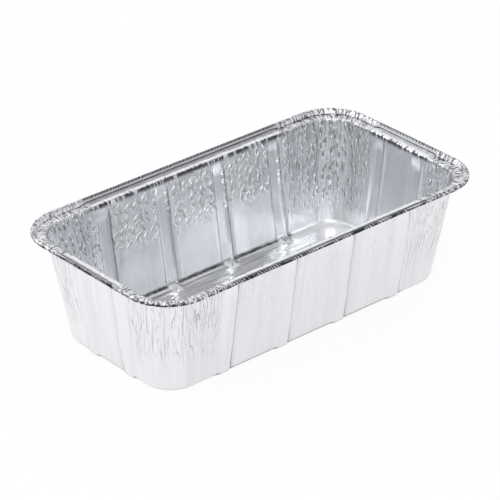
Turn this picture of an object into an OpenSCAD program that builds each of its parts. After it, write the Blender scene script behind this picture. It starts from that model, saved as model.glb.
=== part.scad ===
// Foil loaf pan pressed from one sheet of aluminium: a flat base, drafted walls with flutes
// pressed outwards, gathered corners, a flat ledge, and an edge curled up into a bead.
// Millimetres. The origin is at the middle of the underside, +X runs along the pan, +Z is up.

/* [Sheet] */
// Thickness of the foil
gauge = 0.09; // [0.06:0.01:0.3]

/* [Rim] */
// Length over the curled bead
rim_l = 216; // [196:1:300]
// Width over the curled bead
rim_w = 117; // [100:1:190]
// Width of the rim, from the mouth to the outside of the bead
rim_band = 8; // [6:0.1:12]
// Height of the ledge's underside above the table
ledge_h = 57.5; // [30:0.5:90]
// Diameter of the curled bead
bead_d = 2.5; // [1.8:0.1:4]
// Gap between the curl's free edge and the ledge
curl_gap = 0.3; // [0.2:0.05:0.5]
// Flats in each quarter turn of the curl
curl_flats = 2; // [2:1:3]

/* [Mouth] */
// Corner radius of the mouth
mouth_r = 16.5; // [10:0.5:26]
// Radius where the wall turns over into the ledge
lip_r = 1.2; // [0.6:0.1:2.4]

/* [Base] */
// Length of the base, between the flutes
base_l = 186; // [170:1:230]
// Width of the base, between the flutes
base_w = 85.5; // [76:0.5:120]
// Corner radius of the base
base_r = 16; // [10:0.5:24]
// Radius of the cove between base and wall
cove_r = 3.4; // [1.5:0.1:7]

/* [Flutes] */
// Width of a flute at its foot
flute_w = 7.6; // [5:0.1:12]
// Width of a flute's flat crest
flute_crest = 3.4; // [1.5:0.1:4.5]
// Depth of a flute
flute_depth = 1.6; // [0.6:0.1:3]
// Height over which a flute dies out under the lip
flute_run_out = 5; // [3:0.5:12]
// Spacing of the flutes along a long wall
long_pitch = 37.7; // [24:0.1:60]
// Spacing of the flutes along an end wall
end_pitch = 28; // [18:0.5:44]
// Least distance from a flute's middle to where the corner starts to curve
flute_margin = 10; // [7:0.5:20]

/* [Gathers] */
// Spacing of the gathers round a corner
gather_pitch = 3.6; // [3.2:0.1:8]
// Depth of a gather in the wall
gather_depth = 1; // [0.2:0.1:1.4]
// Length over which the gathers die out beside a flute
gather_fade = 9; // [2:0.5:16]
// Depth of a pleat in the ledge
pleat_depth = 0.5; // [0.1:0.1:0.9]
// Arrangement of deep and shallow gathers
gather_seed = 7; // [1:1:99]

/* [Hidden] */

foil_colour = [0.80, 0.81, 0.84];
bead_r = bead_d / 2;
quarter_turn = 90;
// Outlines are [half length, half width, corner radius]
base_line = [base_l / 2, base_w / 2, base_r];
mouth_line = [rim_l / 2 - rim_band, rim_w / 2 - rim_band, mouth_r];
wall_top = ledge_h - lip_r;
// The curl stops where its free edge clears the ledge by curl_gap
curl_end = 2 * quarter_turn + asin((bead_r - gauge - curl_gap) / bead_r);
// Least share of its full depth that a gather has
least_gather = 0.35;

// Outline o moved outwards by d
function grown(o, d) = [o[0] + d, o[1] + d, o[2] + d];
// Outline a share t of the way from the base to the mouth
function wall_line(t) = base_line + t * (mouth_line - base_line);
function wall_height(t) = cove_r + t * (wall_top - cove_r);
function turned(p, a) = [p[0] * cos(a) - p[1] * sin(a), p[0] * sin(a) + p[1] * cos(a)];

// Sides are numbered 0 to 3 from +X, anticlockwise: the even ones are the end walls
function is_end(side) = side % 2 == 0;
function side_out(side, o) = is_end(side) ? o[0] : o[1];
function side_run(side, o) = (is_end(side) ? o[1] : o[0]) - o[2];
function side_pitch(side) = is_end(side) ? end_pitch : long_pitch;
function flute_room(side) = 2 * (min(side_run(side, base_line), side_run(side, mouth_line)) - flute_margin);
function flute_count(side) = max(1, floor(flute_room(side) / side_pitch(side)) + 1);
// Distance from the middle of a side to the foot of its last flute
function last_foot(side) = (flute_count(side) - 1) / 2 * side_pitch(side) + flute_w / 2;

// A station is one column of points: [side, sign, start, share, angle, flute share, gather share].
// Its place along the side lies that share of the way from start to where the corner curves.
function flute_stations(side) = [
    for (i = [0:flute_count(side) - 1])
        let (middle = (i - (flute_count(side) - 1) / 2) * side_pitch(side))
            for (edge = [[-flute_w / 2, 0], [-flute_crest / 2, 1], [flute_crest / 2, 1], [flute_w / 2, 0]])
                [side, 1, middle + edge[0], 0, 0, edge[1], 0]
];
function gather_steps(length) = max(2, round(length / (gather_pitch / 2)));
function gather_length(side) = side_run(side, mouth_line) - last_foot(side);
// Straight stretch between the last flute and the corner, leaving the side or reaching it
function straight_stations(side, sign) =
    let (n = gather_steps(gather_length(side)))
        [for (i = [1:n - 1])
            let (share = (sign > 0 ? i : n - i) / n)
                [side, sign, last_foot(side), share, 0, 0, min(1, share * gather_length(side) / gather_fade)]];
function corner_stations(side) =
    let (n = gather_steps(mouth_r * PI / 2))
        [for (i = [0:n]) [side, 1, last_foot(side), 1, quarter_turn * i / n, 0, 1]];
stations = [
    for (side = [0:3]) each concat(
        flute_stations(side), straight_stations(side, 1), corner_stations(side),
        straight_stations((side + 1) % 4, -1))
];
columns = len(stations);
noise = rands(least_gather, 1, columns, gather_seed);
// Gathers stand out and in by turns, each to its own depth
waves = [for (j = [0:columns - 1]) (j % 2 == 0 ? 1 : -1) * noise[j] * stations[j][6]];

// A row is one ring of points: [outline, height, flute share, gather share, pleat share]
cove_rows = [
    for (a = [0, 45, quarter_turn])
        [grown(base_line, cove_r * (sin(a) - 1)), cove_r * (1 - cos(a)), 1, 0, 0]
];
flute_top = 1 - flute_run_out / (wall_top - cove_r);
wall_rows = [
    [wall_line(flute_top / 2), wall_height(flute_top / 2), 1, 0.7, 0],
    [wall_line(flute_top), wall_height(flute_top), 1, 1, 0],
    [mouth_line, wall_top, 0, 1, 0],
    [grown(mouth_line, lip_r), ledge_h, 0, 0.3, 1],
];
curl_step = quarter_turn / curl_flats;
curl_angles = concat([for (a = [-quarter_turn:curl_step:curl_end - curl_step / 2]) a], [curl_end]);
bead_rows = [
    for (a = curl_angles)
        [grown(mouth_line, rim_band - bead_r + bead_r * cos(a)), ledge_h + bead_r * (1 + sin(a)), 0, 0, 0]
];
rows = concat(cove_rows, wall_rows, bead_rows);
last_row = len(rows) - 1;

// Point of the outer skin at row i and station j
function skin_point(i, j) =
    let (
        row = rows[i], st = stations[j], o = row[0], side = st[0], a = st[4],
        along = st[1] * (st[2] + st[3] * (side_run(side, o) - st[2])),
        out = flute_depth * st[5] * row[2] + gather_depth / 2 * waves[j] * row[3],
        flat = [side_out(side, o) - o[2] + (o[2] + out) * cos(a), along + (o[2] + out) * sin(a)],
        p = turned(flat, quarter_turn * side)
    )
    [p[0], p[1], row[1] + pleat_depth / 2 * waves[j] * row[4]];

// Direction into the sheet from the outer skin; on the flat base it is straight up
function into_sheet(skin, i, j) =
    let (
        up = skin[min(i + 1, last_row)][j] - skin[max(i - 1, 0)][j],
        round = skin[i][(j + 1) % columns] - skin[i][(j + columns - 1) % columns],
        n = cross(up, round)
    )
    i == 0 ? [0, 0, 1] : n / norm(n);
function inner_skin(skin) = [
    for (i = [0:last_row]) [for (j = [0:columns - 1]) skin[i][j] + gauge * into_sheet(skin, i, j)]
];

// Number of the point at row i and station j of a skin, 0 outside and 1 inside. The middles of
// the base come after them.
function point_at(skin, i, j) = (skin * (last_row + 1) + i) * columns + j % columns;
function base_middle(skin) = 2 * (last_row + 1) * columns + skin;
function patch(a, b, c, d) = [[a, b, c], [a, c, d]];
function backwards(face) = [face[2], face[1], face[0]];
function wall_faces(skin) = [
    for (i = [0:last_row - 1]) for (j = [0:columns - 1])
        each patch(point_at(skin, i, j), point_at(skin, i + 1, j),
            point_at(skin, i + 1, j + 1), point_at(skin, i, j + 1))
];
// The base is a fan round its middle, with a patch at the foot of each flute
base_ring = [for (j = [0:columns - 1]) if (stations[j][5] == 0) j];
function base_faces(skin) = concat(
    [for (k = [0:len(base_ring) - 1])
        [base_middle(skin), point_at(skin, 0, base_ring[k]),
            point_at(skin, 0, base_ring[(k + 1) % len(base_ring)])]],
    [for (j = [0:columns - 1]) if (stations[j][5] == 0 && stations[(j + 1) % columns][5] == 1)
        each patch(point_at(skin, 0, j), point_at(skin, 0, j + 1),
            point_at(skin, 0, j + 2), point_at(skin, 0, j + 3))]
);
free_edge_faces = [
    for (j = [0:columns - 1])
        each patch(point_at(0, last_row, j), point_at(1, last_row, j),
            point_at(1, last_row, j + 1), point_at(0, last_row, j + 1))
];

module loaf_pan() {
    outer = [for (i = [0:last_row]) [for (j = [0:columns - 1]) skin_point(i, j)]];
    inner = inner_skin(outer);
    middles = [[0, 0, 0], [0, 0, gauge]];
    color(foil_colour)
        polyhedron(
            points = concat([for (ring = outer) each ring], [for (ring = inner) each ring], middles),
            faces = concat(
                base_faces(0), wall_faces(0), free_edge_faces,
                [for (face = concat(base_faces(1), wall_faces(1))) backwards(face)]),
            convexity = 12);
}

loaf_pan();
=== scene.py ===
"""The looks of a pressed foil loaf pan: its sheet with fluted walls and gathered corners, its curled edge,
bare aluminium foil, and a plain white studio. Everything is in metres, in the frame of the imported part."""

import math
from collections import namedtuple

import bmesh
import bpy
from mathutils import Matrix, Vector, noise


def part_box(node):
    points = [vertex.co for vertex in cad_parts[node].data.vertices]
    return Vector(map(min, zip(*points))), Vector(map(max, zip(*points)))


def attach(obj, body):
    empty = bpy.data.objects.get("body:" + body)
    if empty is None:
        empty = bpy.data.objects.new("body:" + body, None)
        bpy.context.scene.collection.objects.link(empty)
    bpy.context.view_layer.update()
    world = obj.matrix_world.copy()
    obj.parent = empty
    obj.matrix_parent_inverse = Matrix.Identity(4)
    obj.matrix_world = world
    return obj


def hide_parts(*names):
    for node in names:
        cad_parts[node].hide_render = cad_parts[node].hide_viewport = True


bl_info = {
    "name": "Foil Loaf Pan",
    "version": (1, 0, 0),
    "blender": (4, 5, 0),
    "location": "View3D > Sidebar > Loaf Pan",
    "description": "Dresses a pressed aluminium foil loaf pan and lights it",
    "category": "Add Mesh",
}

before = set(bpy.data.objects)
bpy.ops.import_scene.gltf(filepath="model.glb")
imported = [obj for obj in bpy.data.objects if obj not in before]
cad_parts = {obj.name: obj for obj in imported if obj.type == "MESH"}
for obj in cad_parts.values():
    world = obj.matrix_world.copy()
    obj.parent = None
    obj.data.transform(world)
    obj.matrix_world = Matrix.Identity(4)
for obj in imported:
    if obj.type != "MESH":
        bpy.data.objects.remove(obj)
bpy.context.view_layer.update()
NODE = "loaf_pan"
LOWEST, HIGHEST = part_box(NODE)

MM = 0.001
IMAGE_WIDTH = 500
SIDES = 4
QUARTER = math.pi / 2
# Share of full depth at which a mark counts as none
NOTHING = 1e-4
# Least corner radius of an outline inside the base
SHARPEST = 4 * MM
# Share of a side's straight length that the flutes may take, inside the base
FLUTED = 0.8
# Share of its depth that a flute has at its foot
FOOT = 0.65
# Spacing of the columns where the sheet is creased, in its plain panels, and along the bead
CREASED_STEP = 0.43 * MM
PLAIN_STEP = 1.1 * MM
BEAD_STEP = 0.3 * MM
# Angles up the bead's section at which points are set
BEAD_ANGLES = 16
# The camera's lens in mm, the shift of its picture in pixels, and the point that it stands back from
LENS = 209.45
SHIFT = (7.21, -1.1)
AIM = Vector((-2.142, 6.136, 30.0)) * MM
# Round soft boxes: name, place and width in metres, and power in watts
LAMPS = (
    ("soft_box", (-0.95, 1.1, 1.25), 1.6, 8.4),
    ("round_soft_box", (-0.66, -0.75, 1.12), 0.8, 2.9),
)
# What each point of the sheet carries for the finish to read; the first is how much shade is painted there
MARKS = ("fold", "scuffed", "gathered", "crumpled", "crimped")

# One column of the sheet, from the base to the rim: the side it is on, its place along that side, its
# angle round the corner, how much of a flute and of the gathers it has, its spot on the mouth line, and
# how far round the mouth that is
Column = namedtuple("Column", "side spot angle flute gather x y round")
# One ring of the sheet: outline [half length, half width, corner radius], height, direction of the
# sheet's outer face in the profile, and how much of each form the ring has. A jag is the lip's raggedness,
# a dent the bowing of a flat stretch, a pad the edge of the base where the flutes' feet lie, and the last
# share is how much shade is painted on the ring
Ring = namedtuple("Ring", "outline z out up flute gather pleat crumple jag dent pad fold")


def size(name, description, millimetres):
    """A length that the user may change."""
    return bpy.props.FloatProperty(
        name=name, description=description, default=millimetres * MM, unit="LENGTH", precision=5
    )


def share(name, description, value):
    """A plain number that the user may change."""
    return bpy.props.FloatProperty(name=name, description=description, default=value, subtype="FACTOR")


def linear(hex_colour):
    """An sRGB hex colour as linear RGBA."""
    channels = [int(hex_colour[i : i + 2], 16) / 255 for i in (1, 3, 5)]
    return (*(c / 12.92 if c <= 0.04045 else ((c + 0.055) / 1.055) ** 2.4 for c in channels), 1.0)


def colour(name, description, hex_colour):
    """A colour that the user may change."""
    return bpy.props.FloatVectorProperty(
        name=name, description=description, default=linear(hex_colour), size=4, subtype="COLOR", max=1.0
    )


class SheetSizes(bpy.types.PropertyGroup):
    gauge: size("Gauge", "Thickness of the foil", 0.09)
    rim_band: size("Rim width", "From the mouth to the outside of the bead", 8)
    bead: size("Bead", "Diameter of the curled bead", 2.5)
    curl_gap: size("Curl gap", "From the curl's free edge to the ledge", 0.1)
    mouth_radius: size("Mouth radius", "Corner radius of the mouth", 16.5)
    lip_radius: size("Lip radius", "Where the wall turns over into the ledge", 1.2)
    base_length: size("Base length", "Length of the base between the flutes", 186)
    base_width: size("Base width", "Width of the base between the flutes", 85.5)
    base_radius: size("Base radius", "Corner radius of the base", 16)
    cove: size("Cove", "Radius between the base and the wall", 3.4)
    flute_width: size("Flute width", "Width of a flute at its foot", 7.2)
    flute_crest: size("Flute crest", "Width of a flute's flat crest", 4.4)
    flute_depth: size("Flute depth", "Depth of a flute", 1.6)
    flute_run_out: size("Flute run-out", "Height over which a flute dies out under the lip", 9)
    long_pitch: size("Long pitch", "Spacing of the flutes along a long wall", 37.7)
    end_pitch: size("End pitch", "Spacing of the flutes along an end wall", 28)


class FoilMarks(bpy.types.PropertyGroup):
    gather_fade: size("Gather fade", "Length over which the gathers die out beside a flute", 7)
    gather_depth: size("Gather depth", "Depth of the broad gathers in a corner", 0.16)
    crease_depth: size("Crease depth", "Depth of the sharp creases in a corner", 0.11)
    crumple_depth: size("Crumple depth", "Depth of the crumples between the flutes", 0.12)
    pillow_depth: size("Pillow depth", "How far the walls and the base bow", 0.35)
    pleat_depth: size("Pleat depth", "Depth of the pleats in the ledge", 0.3)
    jag_depth: size("Jag depth", "Raggedness of the lip", 0.22)
    tick_pitch: size("Tick pitch", "Spacing of the crimp marks along the bead", 1.7)
    tick_depth: size("Tick depth", "Depth of the crimp marks", 0.16)
    knob_height: size("Knob height", "Height of the pinched knob where a flute meets the base", 1.1)
    buckle_depth: size("Buckle depth", "How far the base buckles in its corners", 0.4)


class Finish(bpy.types.PropertyGroup):
    foil: colour("Foil", "Bare rolled aluminium", "#F1F2F4")
    # This colour is painted shade: a dark grey laid where the cove, the folds, creases, the lip and the bead
    # would lie in shade
    fold: colour("Fold", "Metal that is rubbed dull inside a fold", "#33353D")
    roughness: share("Roughness", "Roughness of the bright side of the foil", 0.19)


class Studio(bpy.types.PropertyGroup):
    azimuth: bpy.props.FloatProperty(
        name="Azimuth", description="Where the camera stands", default=math.radians(-40.654), subtype="ANGLE"
    )
    elevation: bpy.props.FloatProperty(
        name="Elevation", description="How far it looks down", default=math.radians(28.604), subtype="ANGLE"
    )
    roll: bpy.props.FloatProperty(
        name="Roll", description="How far it leans", default=math.radians(-0.508), subtype="ANGLE"
    )
    distance: size("Distance", "From the camera to the middle of the pan", 1469.8)
    floor: colour("Floor", "White paper under the pan", "#F4F4F4")


def clamped(x):
    return min(1.0, max(0.0, x))


def smooth(low, high, x):
    """0 at low and before it, 1 at high and beyond it, and a soft step between them."""
    t = clamped((x - low) / (high - low))
    return t * t * (3 - 2 * t)


def grown(outline, by):
    """An outline moved outwards, or inwards with its corners kept round."""
    length, width, radius = outline
    return [length + by, width + by, max(radius + by, min(radius, SHARPEST))]


def between(a, b, t):
    return [m + (n - m) * t for m, n in zip(a, b)]


def is_end(side):
    return side % 2 == 0


def side_out(side, outline):
    return outline[0] if is_end(side) else outline[1]


def side_run(side, outline):
    """Half the straight length of a side."""
    return (outline[1] if is_end(side) else outline[0]) - outline[2]


def flute_middles(side, s):
    pitch, count = (s.end_pitch, 2) if is_end(side) else (s.long_pitch, 4)
    return [(i - (count - 1) / 2) * pitch for i in range(count)]


def last_foot(side, s):
    return flute_middles(side, s)[-1] + s.flute_width / 2


def mouth_line(s):
    return [HIGHEST.x - s.rim_band, HIGHEST.y - s.rim_band, s.mouth_radius]


def base_line(s):
    return [s.base_length / 2, s.base_width / 2, s.base_radius]


def past_flute(side, spot, s):
    """How far a place along a side is past the middle of the nearest flute, towards its steep flank."""
    toward = 1 if side == 3 else -1
    return min((toward * (spot - middle) for middle in flute_middles(side, s)), key=abs)


def flute_share(side, spot, s):
    """How much of a flute's depth a place along a side has. One flank is steep and the other soft."""
    past = past_flute(side, spot, s)
    if past > 0:
        return smooth(s.flute_width / 2, s.flute_crest / 2, past)
    return smooth(-s.flute_width / 2 - s.flute_depth, -s.flute_crest / 2, past)


def turned(out, along, side):
    """A point given outwards from and along a side, in the frame of the pan."""
    c, k = ((1, 0), (0, 1), (-1, 0), (0, -1))[side]
    return out * c - along * k, out * k + along * c


def on_outline(column, outline, s):
    """A column's point on an outline, and the direction out of the pan there."""
    side, run = column.side, side_run(column.side, outline)
    foot = last_foot(side, s)
    along = run
    if column.angle == 0:
        # The flutes stand upright, and the stretch from the last one to the corner takes up the rest
        kept = min(foot, FLUTED * run)
        beyond = (abs(column.spot) - foot) / (side_run(side, mouth_line(s)) - foot)
        along = abs(column.spot) * kept / foot if beyond <= 0 else kept + beyond * (run - kept)
        along = math.copysign(along, column.spot)
    c, k = math.cos(column.angle), math.sin(column.angle)
    radius = outline[2]
    flat = side_out(side, outline) - radius + radius * c, along + radius * k
    if column.angle == 0:
        flat = side_out(side, outline), along
    return turned(*flat, side), turned(c, k, side)


def place_columns(s, marks, fine, coarse):
    """Columns round the pan: fine in the flutes and gathers, coarse in the plain panels between them."""
    columns = []
    mouth = mouth_line(s)
    for side in range(SIDES):
        run, foot = side_run(side, mouth), last_foot(side, s)
        spots = [0.0]
        while spots[-1] < run:
            near = min(abs(spots[-1] - middle) for middle in flute_middles(side, s))
            plain = near > s.flute_width / 2 + s.flute_depth + fine and spots[-1] < foot
            spots.append(spots[-1] + (coarse if plain else fine))
        stretch = run / spots[-1]
        half = [spot * stretch for spot in spots[1:]]
        for spot in [-spot for spot in reversed(half)] + [0.0] + half:
            gather = smooth(0, marks.gather_fade, abs(spot) - foot)
            columns.append(Column(side, spot, 0, flute_share(side, spot, s), gather, 0, 0, 0))
        steps = round(QUARTER * mouth[2] / fine)
        for i in range(1, steps):
            columns.append(Column(side, run, QUARTER * i / steps, 0, 1, 0, 0, 0))
    # The seam of the pattern lies in a plain panel, where nothing is creased
    start = min(range(len(columns)), key=lambda i: (columns[i].side, abs(columns[i].spot)))
    placed, far = [], 0.0
    for column in columns[start:] + columns[:start]:
        (x, y), _ = on_outline(column, mouth, s)
        if placed:
            far += math.dist((x, y), (placed[-1].x, placed[-1].y))
        placed.append(column._replace(x=x, y=y, round=far))
    return placed


def spread(low, high, count):
    """Numbers from low to high, both included."""
    return [low + (high - low) * i / (count - 1) for i in range(count)]


def sheet_rings(s):
    """Rings of the sheet from the middle of the base to where the bead starts."""
    base, mouth = base_line(s), mouth_line(s)
    ledge = HIGHEST.z - s.bead
    wall_top = ledge - s.lip_radius
    draft = math.atan((mouth[1] - base[1]) / (wall_top - s.cove))
    plain = Ring(base, 0, 0, -1, 0, 0, 0, 0, 0, 0, 0, 0)
    # The base closes on a line along its middle
    rings = [plain._replace(outline=[base[0] - base[1], 0, 0], dent=1)]
    for inside in (24 * MM, 11 * MM, 6.5 * MM, 4.6 * MM, 3.6 * MM, 2.7 * MM, 1.8 * MM, 0.9 * MM):
        pad = smooth(5 * MM, 1.5 * MM, inside)
        dent = smooth(0, 12 * MM, inside)
        rings.append(plain._replace(outline=grown(base, -s.cove - inside), pad=pad, dent=dent))
    for angle in spread(0, QUARTER - draft, 8):
        outline = grown(base, s.cove * (math.sin(angle) - 1))
        z = s.cove * (1 - math.cos(angle))
        pad = 1 - smooth(math.radians(8), math.radians(46), angle)
        # Shade is painted in a dark line along the cove, where the base turns up into the wall
        fold = smooth(math.radians(17), math.radians(29), angle)
        fold *= 0.95 - 0.95 * smooth(math.radians(46), math.radians(80), angle)
        rings.append(Ring(outline, z, math.sin(angle), -math.cos(angle), FOOT, 0, 0, 0, 0, 0, pad, fold))
    for t in spread(0, 1, 20)[1:]:
        t = t * (1.35 - 0.35 * t)
        z = s.cove + t * (wall_top - s.cove)
        flute = FOOT + (1 - FOOT) * smooth(s.cove, 5 * s.cove, z)
        flute *= 1 - smooth(wall_top - s.flute_run_out, wall_top - s.lip_radius / 2, z)
        gather = smooth(0.0, 0.5, t) * 0.85 + 0.15 * smooth(0.5, 1, t)
        crumple = smooth(0.38, 0.62, t) * (1 - 0.6 * smooth(0.86, 1, t))
        jag, dent = smooth(0.93, 1, t), smooth(0, 0.1, t)
        lean = math.cos(draft), -math.sin(draft)
        rings.append(Ring(between(base, mouth, t), z, *lean, flute, gather, 0, crumple, jag, dent, 0, 0))
    for angle in spread(0, QUARTER, 5)[1:]:
        outline = grown(mouth, s.lip_radius * (1 - math.cos(angle)))
        z = wall_top + s.lip_radius * math.sin(angle)
        out, up = math.cos(angle), math.sin(angle)
        rings.append(Ring(outline, z, out, -up, 0, out, up, 0, 1, 0, 0, 0))
    for by in spread(s.lip_radius, s.rim_band - s.bead / 2, 7)[1:]:
        # Shade is painted in a grey band across the ledge just inside the bead
        fold = 0.4 * smooth(2.4 * MM, 3.4 * MM, by)
        fold *= smooth(s.rim_band - s.bead, s.rim_band - 1.4 * s.bead, by)
        rings.append(plain._replace(outline=grown(mouth, by), z=ledge, pleat=1, fold=fold))
    return rings


def crease(place, width):
    """1 on the lines where a noise changes sign, dying out beside them."""
    return math.exp(-((noise.noise(place) / width) ** 2))


def sheet_push(column, ring, spot, marks):
    """How far wrinkles push the sheet outwards at a column and ring. spot is where the plain sheet is."""
    x, y, z = column.x / MM, column.y / MM, ring.z / MM
    push = 0.0
    gathered = column.gather * ring.gather
    if gathered > NOTHING:
        sway = 1.6 * noise.noise(Vector((x / 9, y / 9, z / 11)))
        u, v = x + sway, y + sway
        broad = noise.noise(Vector((u / 2.6, v / 2.6, z / 26 + 40)))
        coarse = crease(Vector((u / 1.7, v / 1.7, z / 24 + 7)), 0.13)
        fine = crease(Vector((u / 0.95, v / 0.95, z / 12 + 19)), 0.16)
        patch = smooth(-0.25, 0.35, noise.noise(Vector((x / 6, y / 6, z / 9 + 3))))
        push += gathered * (marks.gather_depth * broad - marks.crease_depth * (coarse + 0.4 * fine * patch))
    crumpled = (1 - column.gather) * (1 - 0.85 * column.flute) * ring.crumple
    if crumpled > NOTHING and not is_end(column.side):
        patch = smooth(-0.2, 0.3, noise.noise(Vector((x / 11, y / 11, z / 8 + 71))))
        dimples = noise.noise(Vector((x / 3.1, y / 3.1, z / 4.0 + 55)))
        streaks = crease(Vector((x / 4.2 + z / 19, y / 4.2, z / 12 + 83)), 0.12)
        push += crumpled * marks.crumple_depth * (0.8 * patch * dimples - 0.8 * streaks * patch)
    if ring.dent > 0:
        push += ring.dent * marks.pillow_depth * noise.noise(Vector((*spot, ring.z)) / (24 * MM))
    if ring.pad > 0 and column.gather > NOTHING:
        buckle = 0.5 + noise.noise(Vector((*spot, ring.z)) / (4 * MM))
        push -= column.gather * ring.pad * marks.buckle_depth * clamped(buckle)
    if ring.jag > 0:
        jag = noise.noise(Vector((x / 1.3, y / 1.3, 31))) + 0.7 * noise.noise(Vector((x / 3.7, y / 3.7, 13)))
        calm = 0.5 if is_end(column.side) else 1
        push += ring.jag * marks.jag_depth * jag * (1 - 0.4 * column.gather) * calm
    if ring.pleat > 0:
        across = sum(abs(n) for n in ring.outline[:2]) / MM
        pleats = crease(Vector((x / 1.25, y / 1.25, across / 7)), 0.3)
        ripple = noise.noise(Vector((x / 5, y / 5, across / 2.5)))
        corner = smooth(0.1, 0.9, column.gather)
        push += ring.pleat * marks.pleat_depth * (corner * pleats + 0.25 * ripple)
    return push


def knob_share(column, ring, s):
    """How much of the pinched knob at the foot of a flute a column and ring have."""
    if column.angle or not ring.pad:
        return 0.0
    past = past_flute(column.side, column.spot, s)
    x, y, across = column.x / MM, column.y / MM, sum(ring.outline[:2]) / MM
    pinched = 1 + 0.7 * noise.noise(Vector((x / 1.1, y / 1.1, across / 1.4)))
    return ring.pad * smooth(0.5 * s.flute_width, 0.12 * s.flute_width, abs(past)) * pinched


def sheet_shade_and_scuffs(column, ring, s):
    """How much shade is painted on the sheet at a column and ring, and how scuffed it is there. Shade is
    painted in the cove, where the ledge meets the bead, down the steep side of each flute, in specks on the
    knobs at the flutes' feet and in broken lengths along the lip; the sheet is scuffed beside the flutes, on
    the knobs at their feet and in the corners of the base."""
    x, y, z = column.x / MM, column.y / MM, ring.z / MM
    across = sum(ring.outline[:2]) / MM
    uneven = 0.9 + (0.35 + 0.5 * ring.pleat) * noise.noise(Vector((x / 1.6, y / 1.6, across / 1.6)))
    uneven *= 1 - column.gather * ring.pleat
    fold = ring.fold * (1 - 0.9 * column.flute * ring.flute) * (1 - 0.8 * column.gather) * uneven
    knob = knob_share(column, ring, s)
    scuffed = max(smooth(0.3, 0.7, knob), 0.8 * column.gather * ring.pad)
    # Specks of painted shade sit on the knobs at the flutes' feet
    speck = noise.noise(Vector((x / 0.8, y / 0.8, across / 0.9 + 23)))
    fold = max(fold, 0.8 * smooth(0.05, 0.2, knob) * smooth(0.26, 0.38, speck))
    if column.angle == 0 and ring.flute > 0:
        # Shade is painted in a line down the steep side of each flute, fainter on the first end wall
        past = past_flute(column.side, column.spot, s)
        foot = s.flute_width / 2
        hard = smooth(foot - 0.5 * MM, foot - 0.1 * MM, past) * smooth(foot + 0.7 * MM, foot + 0.3 * MM, past)
        there = min(1.0, ring.flute / FOOT)
        fold = max(fold, (0.35 if column.side == 0 else 0.6) * there * hard)
        beside = smooth(foot + 0.3 * MM, foot + 0.7 * MM, past)
        scuffed = max(scuffed, there * beside * smooth(foot + 2.6 * MM, foot + 1.6 * MM, past))
    # Shade is painted in broken dark lengths along the lip
    if ring.jag > 0.5:
        lengths = noise.noise(Vector((x / 2.0, y / 2.0, 57)))
        lengths += 0.6 * noise.noise(Vector((x / 0.8, y / 0.8, 5)))
        ragged = [noise.noise(Vector((x / 1.2, y / 1.2, level))) for level in (77, 91)]
        # Nearer the ledge it thins out
        rise = abs(ring.up)
        broken = smooth(-0.28, -0.16, lengths) * smooth(0.95, 0.65, rise + 0.5 * ragged[0])
        broken *= smooth(-0.3, 0.0, rise + 0.6 * ragged[1])
        fold = max(fold, ring.jag * broken * (0.95 - 0.6 * column.gather))
    return fold, scuffed


def formed_ring(columns, ups, place):
    """A closed strip of sheet: a flat grid whose points go where place says, with its two ends welded.
    Its pattern map is in metres, round the mouth and up the sheet."""
    bm = bmesh.new()
    count, rows = len(columns), len(ups)
    bmesh.ops.create_grid(bm, x_segments=count, y_segments=rows - 1, size=0.5)
    layers = [bm.verts.layers.float.new(name) for name in MARKS]
    pattern = bm.loops.layers.uv.new("pattern")
    last_step = math.dist((columns[-1].x, columns[-1].y), (columns[0].x, columns[0].y))
    rounds = [column.round for column in columns] + [columns[-1].round + last_step]
    first, last = {}, {}
    for vert in bm.verts:
        i = round((vert.co.x + 0.5) * count)
        j = round((vert.co.y + 0.5) * (rows - 1))
        for loop in vert.link_loops:
            loop[pattern].uv = rounds[i], ups[j]
        vert.co, marks = place(i % count, j)
        for layer, mark in zip(layers, marks):
            vert[layer] = mark
        if i == 0:
            first[j] = vert
        elif i == count:
            last[j] = vert
    bmesh.ops.weld_verts(bm, targetmap={last[j]: first[j] for j in last})
    return bm


def pressed(out, up, radius):
    """A point of the round bead once the press has flattened its outer face, which leans back a little."""
    lean = math.radians(24)
    beyond = out * math.cos(lean) + up * math.sin(lean) - 0.82 * radius
    if beyond <= 0:
        return out, up
    return out - 0.92 * beyond * math.cos(lean), up - 0.92 * beyond * math.sin(lean)


def finish_mesh(bm, name, gauge, material):
    """Makes a piece of the sheet's outer face, gives it the foil's thickness and hangs it on the frame."""
    mesh = bpy.data.meshes.new(name)
    for face in bm.faces:
        face.smooth = True
    bm.to_mesh(mesh)
    bm.free()
    mesh.materials.append(material)
    piece = bpy.data.objects.new(name, mesh)
    bpy.context.scene.collection.objects.link(piece)
    thick = piece.modifiers.new("Foil gauge", "SOLIDIFY")
    thick.thickness = gauge
    thick.offset = -1
    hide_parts(NODE)
    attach(piece, "root")
    return piece


def add(tree, kind, settings=None, inputs=None):
    """Adds a node with its settings, and its inputs as values or links."""
    node = tree.nodes.new(kind)
    for name, value in (settings or {}).items():
        setattr(node, name, value)
    for key, value in (inputs or {}).items():
        if isinstance(value, bpy.types.NodeSocket):
            tree.links.new(value, node.inputs[key])
        else:
            node.inputs[key].default_value = value
    return node


def math_node(tree, operation, *values):
    return add(tree, "ShaderNodeMath", {"operation": operation}, dict(enumerate(values))).outputs[0]


def bump(tree, height, depth, strength, normal):
    """Raises the surface by up to a depth, on top of the bumps before it."""
    inputs = {"Height": height, "Distance": depth, "Strength": strength}
    if normal:
        inputs["Normal"] = normal
    return add(tree, "ShaderNodeBump", inputs=inputs).outputs[0]


def noise_field(tree, place, scale, detail, roughness=0.5, sway=0.0, dimensions="2D"):
    """A noise about 0.5 whose forms are about 1 / scale across."""
    return add(
        tree,
        "ShaderNodeTexNoise",
        {"noise_dimensions": dimensions},
        {"Vector": place, "Scale": scale, "Detail": detail, "Roughness": roughness, "Distortion": sway},
    ).outputs[0]


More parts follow.
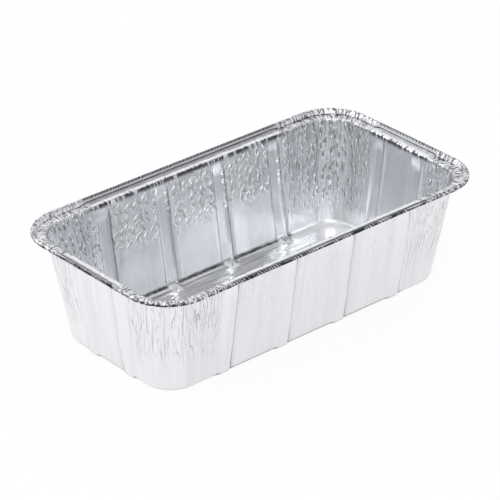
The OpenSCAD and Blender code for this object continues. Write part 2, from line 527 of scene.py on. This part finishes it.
def eased(tree, value, low, high, start=0.0, end=1.0):
    """A soft step from start, at low and before it, to end, at high and beyond it."""
    return add(
        tree,
        "ShaderNodeMapRange",
        {"interpolation_type": "SMOOTHSTEP"},
        {"Value": value, "From Min": low, "From Max": high, "To Min": start, "To Max": end},
    ).outputs[0]


def thin_line(tree, away, width):
    """1 where a value is zero, falling softly to 0 at a width on both sides."""
    return eased(tree, math_node(tree, "ABSOLUTE", away, 0.0), 0.0, width, 1.0, 0.0)


def crease_lines(tree, pattern, stretch, scale, width, sway):
    """Thin winding lines, 1 in the middle and 0 outside, where a stretched noise passes its middle."""
    drawn = add(tree, "ShaderNodeMapping", inputs={"Vector": pattern, "Scale": stretch}).outputs[0]
    field = noise_field(tree, drawn, scale, 1.0, sway=sway)
    return thin_line(tree, math_node(tree, "SUBTRACT", field, 0.5), width)


def drawn_lines(tree, pattern, pitch, width, offset):
    """Near-upright lines of a pitch and width in metres that lean, run together and break off."""
    parts = add(tree, "ShaderNodeSeparateXYZ", inputs={0: pattern}).outputs
    placed = add(
        tree,
        "ShaderNodeMapping",
        inputs={"Vector": pattern, "Location": (offset, offset, 0), "Scale": (1, 0.15, 1)},
    ).outputs[0]
    lean = noise_field(tree, placed, 0.35 / pitch, 2.0)
    broken = noise_field(tree, placed, 0.9 / pitch, 1.0)
    across = math_node(
        tree, "ADD", math_node(tree, "DIVIDE", parts["X"], pitch), math_node(tree, "MULTIPLY", lean, 5.0)
    )
    away = math_node(tree, "SUBTRACT", math_node(tree, "FRACT", across, 0.0), 0.5)
    there = eased(tree, broken, 0.42, 0.56, 0.1)
    return math_node(tree, "MULTIPLY", thin_line(tree, away, width / pitch), there)


def short_strokes(tree, pattern, pitch, width, most):
    """One short, slightly bent line in each cell of an uneven pattern, each leaning by up to most radians."""
    cells = add(
        tree,
        "ShaderNodeTexVoronoi",
        {"voronoi_dimensions": "2D", "feature": "F1"},
        {"Vector": pattern, "Scale": 1 / pitch, "Randomness": 0.9},
    ).outputs
    cell = add(tree, "ShaderNodeVectorMath", {"operation": "SUBTRACT"}, {0: pattern, 1: cells["Position"]})
    chance = add(tree, "ShaderNodeSeparateXYZ", inputs={0: cells["Color"]}).outputs
    lean = math_node(tree, "MULTIPLY_ADD", chance["X"], 2 * most, -most)
    leaning = add(
        tree,
        "ShaderNodeVectorRotate",
        {"rotation_type": "Z_AXIS"},
        {"Vector": cell.outputs[0], "Angle": lean},
    )
    place = add(tree, "ShaderNodeSeparateXYZ", inputs={0: leaning.outputs[0]}).outputs
    bend = math_node(tree, "MULTIPLY", math_node(tree, "MULTIPLY", place["Y"], place["Y"]), 0.5 / pitch)
    across = thin_line(tree, math_node(tree, "ADD", place["X"], bend), width)
    length = thin_line(tree, place["Y"], 0.62 * pitch)
    return math_node(tree, "MULTIPLY", across, length)


def cleared(owner):
    owner.use_nodes = True
    owner.node_tree.nodes.clear()
    return owner.node_tree


def bright_rolled_foil(finish):
    """Bright rolled aluminium foil: mirror-like with a slight haze from the rolling, fine crinkles where it
    was gathered, and shade painted dark into the folds, creases and pleats and on the bead."""
    material = bpy.data.materials.get("bright_rolled_foil")
    if material:
        return material
    material = bpy.data.materials.new("bright_rolled_foil")
    tree = cleared(material)
    spot = add(tree, "ShaderNodeTexCoord").outputs["Object"]
    # Faces that look up or into the pan, as seen from a point above it, are its inside
    faces = add(tree, "ShaderNodeNewGeometry").outputs["True Normal"]
    from_above = add(
        tree, "ShaderNodeVectorMath", {"operation": "SUBTRACT"}, {0: spot, 1: (0, 0, 100 * MM)}
    ).outputs[0]
    looks_in = add(tree, "ShaderNodeVectorMath", {"operation": "DOT_PRODUCT"}, {0: faces, 1: from_above})
    inside = math_node(tree, "LESS_THAN", looks_in.outputs["Value"], 0.0)
    pattern = add(tree, "ShaderNodeUVMap", {"uv_map": "pattern"}).outputs[0]
    fold, scuffed, gathered, crumpled, crimped = (
        add(tree, "ShaderNodeAttribute", {"attribute_name": name}).outputs["Fac"] for name in MARKS
    )
    # Creases under half a millimetre wide, drawn upright by the press, one to three millimetres apart
    long_creases = drawn_lines(tree, pattern, 2.6 * MM, 0.24 * MM, 0.0)
    short_creases = drawn_lines(tree, pattern, 1.3 * MM, 0.2 * MM, 0.37)
    lines = math_node(tree, "MAXIMUM", long_creases, math_node(tree, "MULTIPLY", short_creases, 0.65))
    # Shade is painted into them, deepest in the gathered corners and more on the inside, and faintly between
    # the flutes too
    faint = math_node(tree, "MULTIPLY", crumpled, 0.12)
    deep = math_node(tree, "MULTIPLY", gathered, math_node(tree, "MULTIPLY_ADD", inside, 0.3, 0.5))
    weight = math_node(tree, "ADD", deep, faint)
    drawn = math_node(tree, "MULTIPLY", lines, weight)
    # Pleats about two millimetres apart across the ledge
    pleats = crease_lines(tree, pattern, (1, 0.15, 1), 1 / (1.9 * MM), 0.07, 0.2)
    # Shade is painted into the pleats in the corners of the ledge
    pleat_shade = math_node(tree, "MULTIPLY", math_node(tree, "MULTIPLY", pleats, crimped), 0.8)
    # Flat facets where the foil is crushed, about a millimetre across
    facets = add(
        tree,
        "ShaderNodeTexVoronoi",
        {"voronoi_dimensions": "3D", "feature": "F1"},
        {"Vector": spot, "Scale": 1 / (1.0 * MM), "Randomness": 1.0},
    ).outputs["Distance"]
    # Loose crumples between the flutes, four to seven millimetres apart
    crumples = math_node(
        tree,
        "MAXIMUM",
        short_strokes(tree, pattern, 6.4 * MM, 1.0 * MM, 1.1),
        math_node(tree, "MULTIPLY", short_strokes(tree, pattern, 4.6 * MM, 0.8 * MM, 1.1), 0.8),
    )
    # Small upright dents that catch the light inside the gathered corners, five millimetres apart
    dents = math_node(tree, "MULTIPLY", short_strokes(tree, pattern, 4.6 * MM, 0.75 * MM, 0.3), inside)
    dents = math_node(tree, "MULTIPLY", dents, gathered)
    # Slow waves that a flat stretch of thin sheet always keeps
    wave = noise_field(tree, spot, 1 / (16 * MM), 2.0, dimensions="3D")
    normal = bump(tree, wave, 1.2 * MM, 0.35, None)
    # The crumples stand out on the inside and are pressed flat on the outside
    stands = math_node(tree, "MULTIPLY", crumpled, math_node(tree, "MULTIPLY_ADD", inside, 0.8, 0.2))
    normal = bump(tree, crumples, 1.7 * MM, stands, normal)
    normal = bump(tree, math_node(tree, "SUBTRACT", 1.0, lines), 0.18 * MM, gathered, normal)
    normal = bump(tree, dents, 1.3 * MM, 1.0, normal)
    normal = bump(tree, facets, 0.2 * MM, crimped, normal)
    normal = bump(tree, math_node(tree, "SUBTRACT", 1.0, pleats), 0.3 * MM, crimped, normal)
    # Rolling streaks run along the base, three or four millimetres apart
    along = add(tree, "ShaderNodeMapping", inputs={"Vector": spot, "Scale": (0.08, 1, 1)}).outputs[0]
    streaks = noise_field(tree, along, 1 / (4 * MM), 2.0, 0.6, dimensions="3D")
    height = add(tree, "ShaderNodeSeparateXYZ", inputs={0: spot}).outputs["Z"]
    on_base = math_node(tree, "LESS_THAN", height, 0.4 * MM)
    normal = bump(tree, streaks, 0.9 * MM, on_base, normal)
    # The rolling haze comes and goes over a few centimetres
    haze = noise_field(tree, spot, 1 / (30 * MM), 2.0, dimensions="3D")
    roughness = add(
        tree,
        "ShaderNodeMapRange",
        inputs={
            "Value": haze,
            "From Min": 0.3,
            "From Max": 0.7,
            "To Min": finish.roughness - 0.03,
            "To Max": finish.roughness + 0.04,
        },
    )
    # Scuffed metal, and the backs of crumples and dents, take light from all round
    backs = math_node(tree, "MAXIMUM", math_node(tree, "MULTIPLY", crumples, stands), dents)
    rubbed = add(
        tree,
        "ShaderNodeMix",
        inputs={
            "Factor": math_node(tree, "MAXIMUM", scuffed, backs),
            "A": roughness.outputs[0],
            "B": 0.65,
        },
    ).outputs["Result"]
    # Drawing the walls leaves soft upright streaks on them, a little duller and about a centimetre apart
    upright = add(tree, "ShaderNodeMapping", inputs={"Vector": pattern, "Scale": (1, 0.07, 1)}).outputs[0]
    soft = noise_field(tree, upright, 1 / (7 * MM), 3.0, 0.6)
    streaked = add(
        tree,
        "ShaderNodeMapRange",
        inputs={"Value": soft, "From Min": 0.42, "From Max": 0.75, "To Min": 0.0, "To Max": 0.08},
    ).outputs[0]
    # The dark colour is painted as shade into the folds, creases, pleats and bead; the soft streaks on the
    # walls add tone that varies at random
    shade_in_folds_and_creases = math_node(tree, "MAXIMUM", fold, math_node(tree, "MAXIMUM", drawn, pleat_shade))
    on_walls = math_node(tree, "SUBTRACT", 1.0, on_base)
    shade_and_streaks = math_node(tree, "MAXIMUM", shade_in_folds_and_creases, math_node(tree, "MULTIPLY", streaked, on_walls))
    shade_and_streak_colour = add(
        tree,
        "ShaderNodeMix",
        {"data_type": "RGBA"},
        {"Factor": shade_and_streaks, "A": finish.foil, "B": finish.fold},
    )
    shader = add(
        tree,
        "ShaderNodeBsdfPrincipled",
        inputs={
            "Base Color": shade_and_streak_colour.outputs["Result"],
            "Metallic": 1.0,
            "Roughness": rubbed,
            "Normal": normal,
        },
    )
    add(tree, "ShaderNodeOutputMaterial", inputs={"Surface": shader.outputs[0]})
    return material


def white_paper(floor_colour):
    """A roll of white seamless paper: white to the camera and in the foil, and still in the pan's shadow."""
    material = bpy.data.materials.new("white_seamless_paper")
    tree = cleared(material)
    rays = add(tree, "ShaderNodeLightPath").outputs
    seen = math_node(tree, "MAXIMUM", rays["Is Camera Ray"], rays["Is Transmission Ray"])
    to_eye = math_node(tree, "MULTIPLY", seen, 0.94)
    in_foil = math_node(tree, "MULTIPLY", rays["Is Glossy Ray"], 0.63)
    lift = math_node(tree, "MAXIMUM", to_eye, in_foil)
    paper = add(tree, "ShaderNodeBsdfDiffuse", inputs={"Color": floor_colour})
    glow = add(tree, "ShaderNodeEmission", inputs={"Color": (1, 1, 1, 1), "Strength": 1.0})
    both = add(
        tree, "ShaderNodeMixShader", inputs={0: lift, 1: paper.outputs[0], 2: glow.outputs[0]}
    )
    add(tree, "ShaderNodeOutputMaterial", inputs={"Surface": both.outputs[0]})
    return material


def ramp(tree, value, stops):
    """A grey that depends on a value, through stops of place and brightness."""
    node = add(tree, "ShaderNodeValToRGB", inputs={"Fac": value})
    elements = node.color_ramp.elements
    while len(elements) < len(stops):
        elements.new(0.5)
    for element, (place, grey) in zip(elements, stops):
        element.position = place
        element.color = (grey, grey, grey * 1.02, 1)
    return node.outputs[0]


def light_room(toward_camera):
    """A soft white room: a pale wall behind the pan, a dark strip along the floor behind the camera, and a
    wall to its right that is dim higher up. To the eye it is all white."""
    toward_right = Vector((0, 0, 1)).cross(toward_camera)
    world = bpy.data.worlds.new("soft_room")
    bpy.context.scene.world = world
    tree = cleared(world)
    look = add(tree, "ShaderNodeTexCoord").outputs["Generated"]
    height = add(tree, "ShaderNodeSeparateXYZ", inputs={0: look}).outputs["Z"]
    behind = ramp(tree, height, [(0.0, 0.6), (0.15, 0.8), (0.3, 0.97), (1.0, 1.0)])
    front = ramp(tree, height, [(0.0, 0.25), (0.12, 0.3), (0.2, 0.75), (0.5, 0.9), (1.0, 1.0)])
    low_stops = [(0.0, 0.6), (0.13, 0.65), (0.2, 0.9), (0.44, 0.95)]
    right = ramp(tree, height, low_stops + [(0.58, 0.35), (0.8, 0.4), (1.0, 1.0)])
    room = behind
    for wall, toward, low, high in ((front, toward_camera, -0.6, 0.1), (right, toward_right, 0.25, 0.8)):
        facing = add(tree, "ShaderNodeVectorMath", {"operation": "DOT_PRODUCT"}, {0: look, 1: toward})
        part = eased(tree, facing.outputs["Value"], low, high)
        room = add(
            tree, "ShaderNodeMix", {"data_type": "RGBA"}, {"Factor": part, "A": room, "B": wall}
        ).outputs["Result"]
    rays = add(tree, "ShaderNodeLightPath").outputs
    shown = add(
        tree,
        "ShaderNodeMix",
        {"data_type": "RGBA"},
        {"Factor": rays["Is Camera Ray"], "A": room, "B": (1, 1, 1, 1)},
    )
    sky = add(tree, "ShaderNodeBackground", inputs={"Color": shown.outputs["Result"], "Strength": 1.0})
    add(tree, "ShaderNodeOutputWorld", inputs={"Surface": sky.outputs[0]})


class MESH_OT_foil_sheet(bpy.types.Operator):
    """Forms the base, walls and ledge of the pan from one sheet"""

    bl_idname = "mesh.foil_sheet"
    bl_label = "Foil Sheet"

    def execute(self, context):
        s, marks = context.scene.pan_sheet, context.scene.pan_marks
        columns = place_columns(s, marks, CREASED_STEP, PLAIN_STEP)
        rings = sheet_rings(s)
        ups = [0.0]
        for below, above in zip(rings, rings[1:]):
            ups.append(ups[-1] + math.dist((below.outline[1], below.z), (above.outline[1], above.z)))

        def place(i, j):
            column, ring = columns[i], rings[j]
            (x, y), (nx, ny) = on_outline(column, ring.outline, s)
            push = sheet_push(column, ring, (x, y), marks)
            if ring.z == 0:
                # The table holds the base up
                push = min(0.0, push)
            out = push * ring.out + s.flute_depth * column.flute * ring.flute
            lift = marks.knob_height * knob_share(column, ring, s)
            crumpled = 0 if is_end(column.side) else (1 - column.gather) * (1 - column.flute) * ring.crumple
            crimped = ring.pleat * smooth(0.1, 0.9, column.gather)
            painted_shade_and_marks = *sheet_shade_and_scuffs(column, ring, s), column.gather * ring.gather, crumpled, crimped
            return Vector((x + nx * out, y + ny * out, ring.z + push * ring.up + lift)), painted_shade_and_marks

        bm = formed_ring(columns, ups, place)
        inner = [vert for vert in bm.verts if vert.is_boundary and vert.co.z < s.cove]
        bmesh.ops.remove_doubles(bm, verts=inner, dist=0.02 * MM)
        finish_mesh(bm, "pan_sheet", s.gauge, bright_rolled_foil(context.scene.pan_finish))
        return {"FINISHED"}


class MESH_OT_curled_edge(bpy.types.Operator):
    """Rolls the edge of the sheet into a crimped bead"""

    bl_idname = "mesh.curled_edge"
    bl_label = "Curled Edge"

    def execute(self, context):
        s, marks = context.scene.pan_sheet, context.scene.pan_marks
        columns = place_columns(s, marks, BEAD_STEP, BEAD_STEP)
        mouth, radius = mouth_line(s), s.bead / 2
        turn = math.asin((radius - s.gauge - s.curl_gap) / radius)
        angles = spread(-QUARTER, math.pi + turn, BEAD_ANGLES)

        def place(i, j):
            column, angle = columns[i], angles[j]
            x, y = column.x / MM, column.y / MM
            corner = smooth(0.3, 1, column.gather)
            length = (x if not is_end(column.side) else y) + 0.7 * angle
            length += 0.9 * noise.noise(Vector((x / 4, y / 4, 101)))
            tick = crease(Vector((x / 1.1 + 0.25 * angle, y / 1.1 + 0.25 * angle, 3)), 0.22)
            wave = 0.5 + 0.5 * math.sin(length / (marks.tick_pitch / MM) * 2 * math.pi)
            strength = 0.35 + 0.65 * smooth(-0.2, 0.3, noise.noise(Vector((x / 5, y / 5, angle + 9))))
            crush = noise.noise(Vector((x / 0.9, y / 0.9, angle * 1.6 + 27)))
            depth = (1 - corner) * strength * wave * marks.tick_depth
            depth += corner * marks.tick_depth * (1.1 * tick + 1.2 * crush)
            held = smooth(-QUARTER, -QUARTER + 0.6, angle)
            out, up = pressed(radius * math.cos(angle), radius * math.sin(angle), radius)
            kept = 1 - max(0.0, depth) * held / radius
            out, up = out * kept, up * kept
            # In the corners its inner flank is crushed down to a slope on to the ledge
            sloped = corner * smooth(1.9, 2.3, angle)
            down = (0.86 * radius - up) / (1.86 * radius)
            out += sloped * (-(0.5 + 1.3 * down) * radius - out)
            up -= sloped * smooth(3.4, 4.0, angle) * 0.16 * radius
            (px, py), _ = on_outline(column, grown(mouth, s.rim_band - radius + out), s)
            # Shade is painted on the bead between the crimp ticks, on its outer face and its inner one, and
            # in dashes along its underside in the corners
            reach = 0.75 + 0.6 * noise.noise(Vector((x / 16, y / 16, 17)))
            outer = smooth(-0.7, -0.45, angle) * smooth(reach + 0.15, reach - 0.1, angle)
            inner = smooth(0.95, 1.05, angle) * smooth(3.0, 2.5, angle)
            lower = smooth(-1.4, -1.2, angle) * smooth(0.25, -0.05, angle)
            bitten = noise.noise(Vector((x / 7, y / 7, 41)))
            bitten += 0.6 * noise.noise(Vector((x / 1.9, y / 1.9, angle / 3)))
            bright = 0.85 * smooth(0.55, 0.9, wave) * smooth(-0.3, 0.1, bitten)
            if angle > QUARTER / 2:
                bright = 0.7 * smooth(0.65, 0.95, wave)
            dark = (1 - corner) * (1 - bright) + corner * smooth(0.1, 0.3, crush)
            dashes = smooth(-0.25, -0.1, noise.noise(Vector((x / 1.5, y / 1.5, 65))))
            rubbed = 0.7 * smooth(2.4, 2.9, angle)
            painted_shade_and_marks = clamped((outer + inner) * dark + corner * lower * dashes), rubbed, 0, 0, corner
            return Vector((px, py, HIGHEST.z - radius + up)), painted_shade_and_marks

        bm = formed_ring(columns, [radius * angle for angle in angles], place)
        finish_mesh(bm, "curled_edge", s.gauge, bright_rolled_foil(context.scene.pan_finish))
        return {"FINISHED"}


class SCENE_OT_white_studio(bpy.types.Operator):
    """Lays the white paper, lights the room and sets the camera"""

    bl_idname = "scene.white_studio"
    bl_label = "White Studio"

    def execute(self, context):
        studio = context.scene.pan_studio
        azimuth, elevation = studio.azimuth, studio.elevation
        level = Vector((math.sin(azimuth), -math.cos(azimuth), 0))
        back = level * math.cos(elevation) + Vector((0, 0, math.sin(elevation)))
        self.set_camera(context.scene, studio, back)
        self.lay_paper(context.scene, studio)
        light_room(level)
        for lamp in LAMPS:
            self.hang_lamp(context.scene, *lamp)
        context.scene.view_settings.view_transform = "Standard"
        return {"FINISHED"}

    def hang_lamp(self, scene, name, place, width, power):
        lamp = bpy.data.lights.new(name, "AREA")
        lamp.shape, lamp.size, lamp.energy = "DISK", width, power
        box = bpy.data.objects.new(name, lamp)
        box.location = place
        box.rotation_euler = (-box.location).to_track_quat("-Z", "Y").to_euler()
        scene.collection.objects.link(box)

    def set_camera(self, scene, studio, back):
        right = Vector((0, 0, 1)).cross(back).normalized()
        up = back.cross(right)
        c, k = math.cos(studio.roll), math.sin(studio.roll)
        axes = Matrix((right * c + up * k, up * c - right * k, back)).transposed()
        data = bpy.data.cameras.new("camera")
        data.lens = LENS
        data.shift_x, data.shift_y = (shift / IMAGE_WIDTH for shift in SHIFT)
        camera = bpy.data.objects.new("camera", data)
        camera.matrix_world = Matrix.Translation(AIM + back * studio.distance) @ axes.to_4x4()
        scene.collection.objects.link(camera)
        scene.camera = camera

    def lay_paper(self, scene, studio):
        bm = bmesh.new()
        bmesh.ops.create_grid(bm, x_segments=1, y_segments=1, size=20)
        mesh = bpy.data.meshes.new("paper_floor")
        bm.to_mesh(mesh)
        bm.free()
        mesh.materials.append(white_paper(studio.floor))
        floor = bpy.data.objects.new("paper_floor", mesh)
        floor.location.z = LOWEST.z
        scene.collection.objects.link(floor)


class VIEW3D_PT_loaf_pan(bpy.types.Panel):
    bl_label = "Loaf Pan"
    bl_space_type = "VIEW_3D"
    bl_region_type = "UI"
    bl_category = "Loaf Pan"

    def draw(self, context):
        for operator in OPERATORS:
            self.layout.operator(operator.bl_idname)
        for name in GROUPS:
            box = self.layout.box()
            group = getattr(context.scene, name)
            for key in group.bl_rna.properties.keys():
                if key not in ("rna_type", "name"):
                    box.prop(group, key)


GROUPS = {"pan_sheet": SheetSizes, "pan_marks": FoilMarks, "pan_finish": Finish, "pan_studio": Studio}
OPERATORS = (SCENE_OT_white_studio, MESH_OT_foil_sheet, MESH_OT_curled_edge)


def register():
    for cls in (*GROUPS.values(), *OPERATORS, VIEW3D_PT_loaf_pan):
        bpy.utils.register_class(cls)
    for name, group in GROUPS.items():
        setattr(bpy.types.Scene, name, bpy.props.PointerProperty(type=group))


def unregister():
    for name in GROUPS:
        delattr(bpy.types.Scene, name)
    for cls in reversed((*GROUPS.values(), *OPERATORS, VIEW3D_PT_loaf_pan)):
        bpy.utils.unregister_class(cls)


def main():
    register()
    bpy.ops.scene.white_studio()
    bpy.ops.mesh.foil_sheet()
    bpy.ops.mesh.curled_edge()


if __name__ == "__main__":
    main()
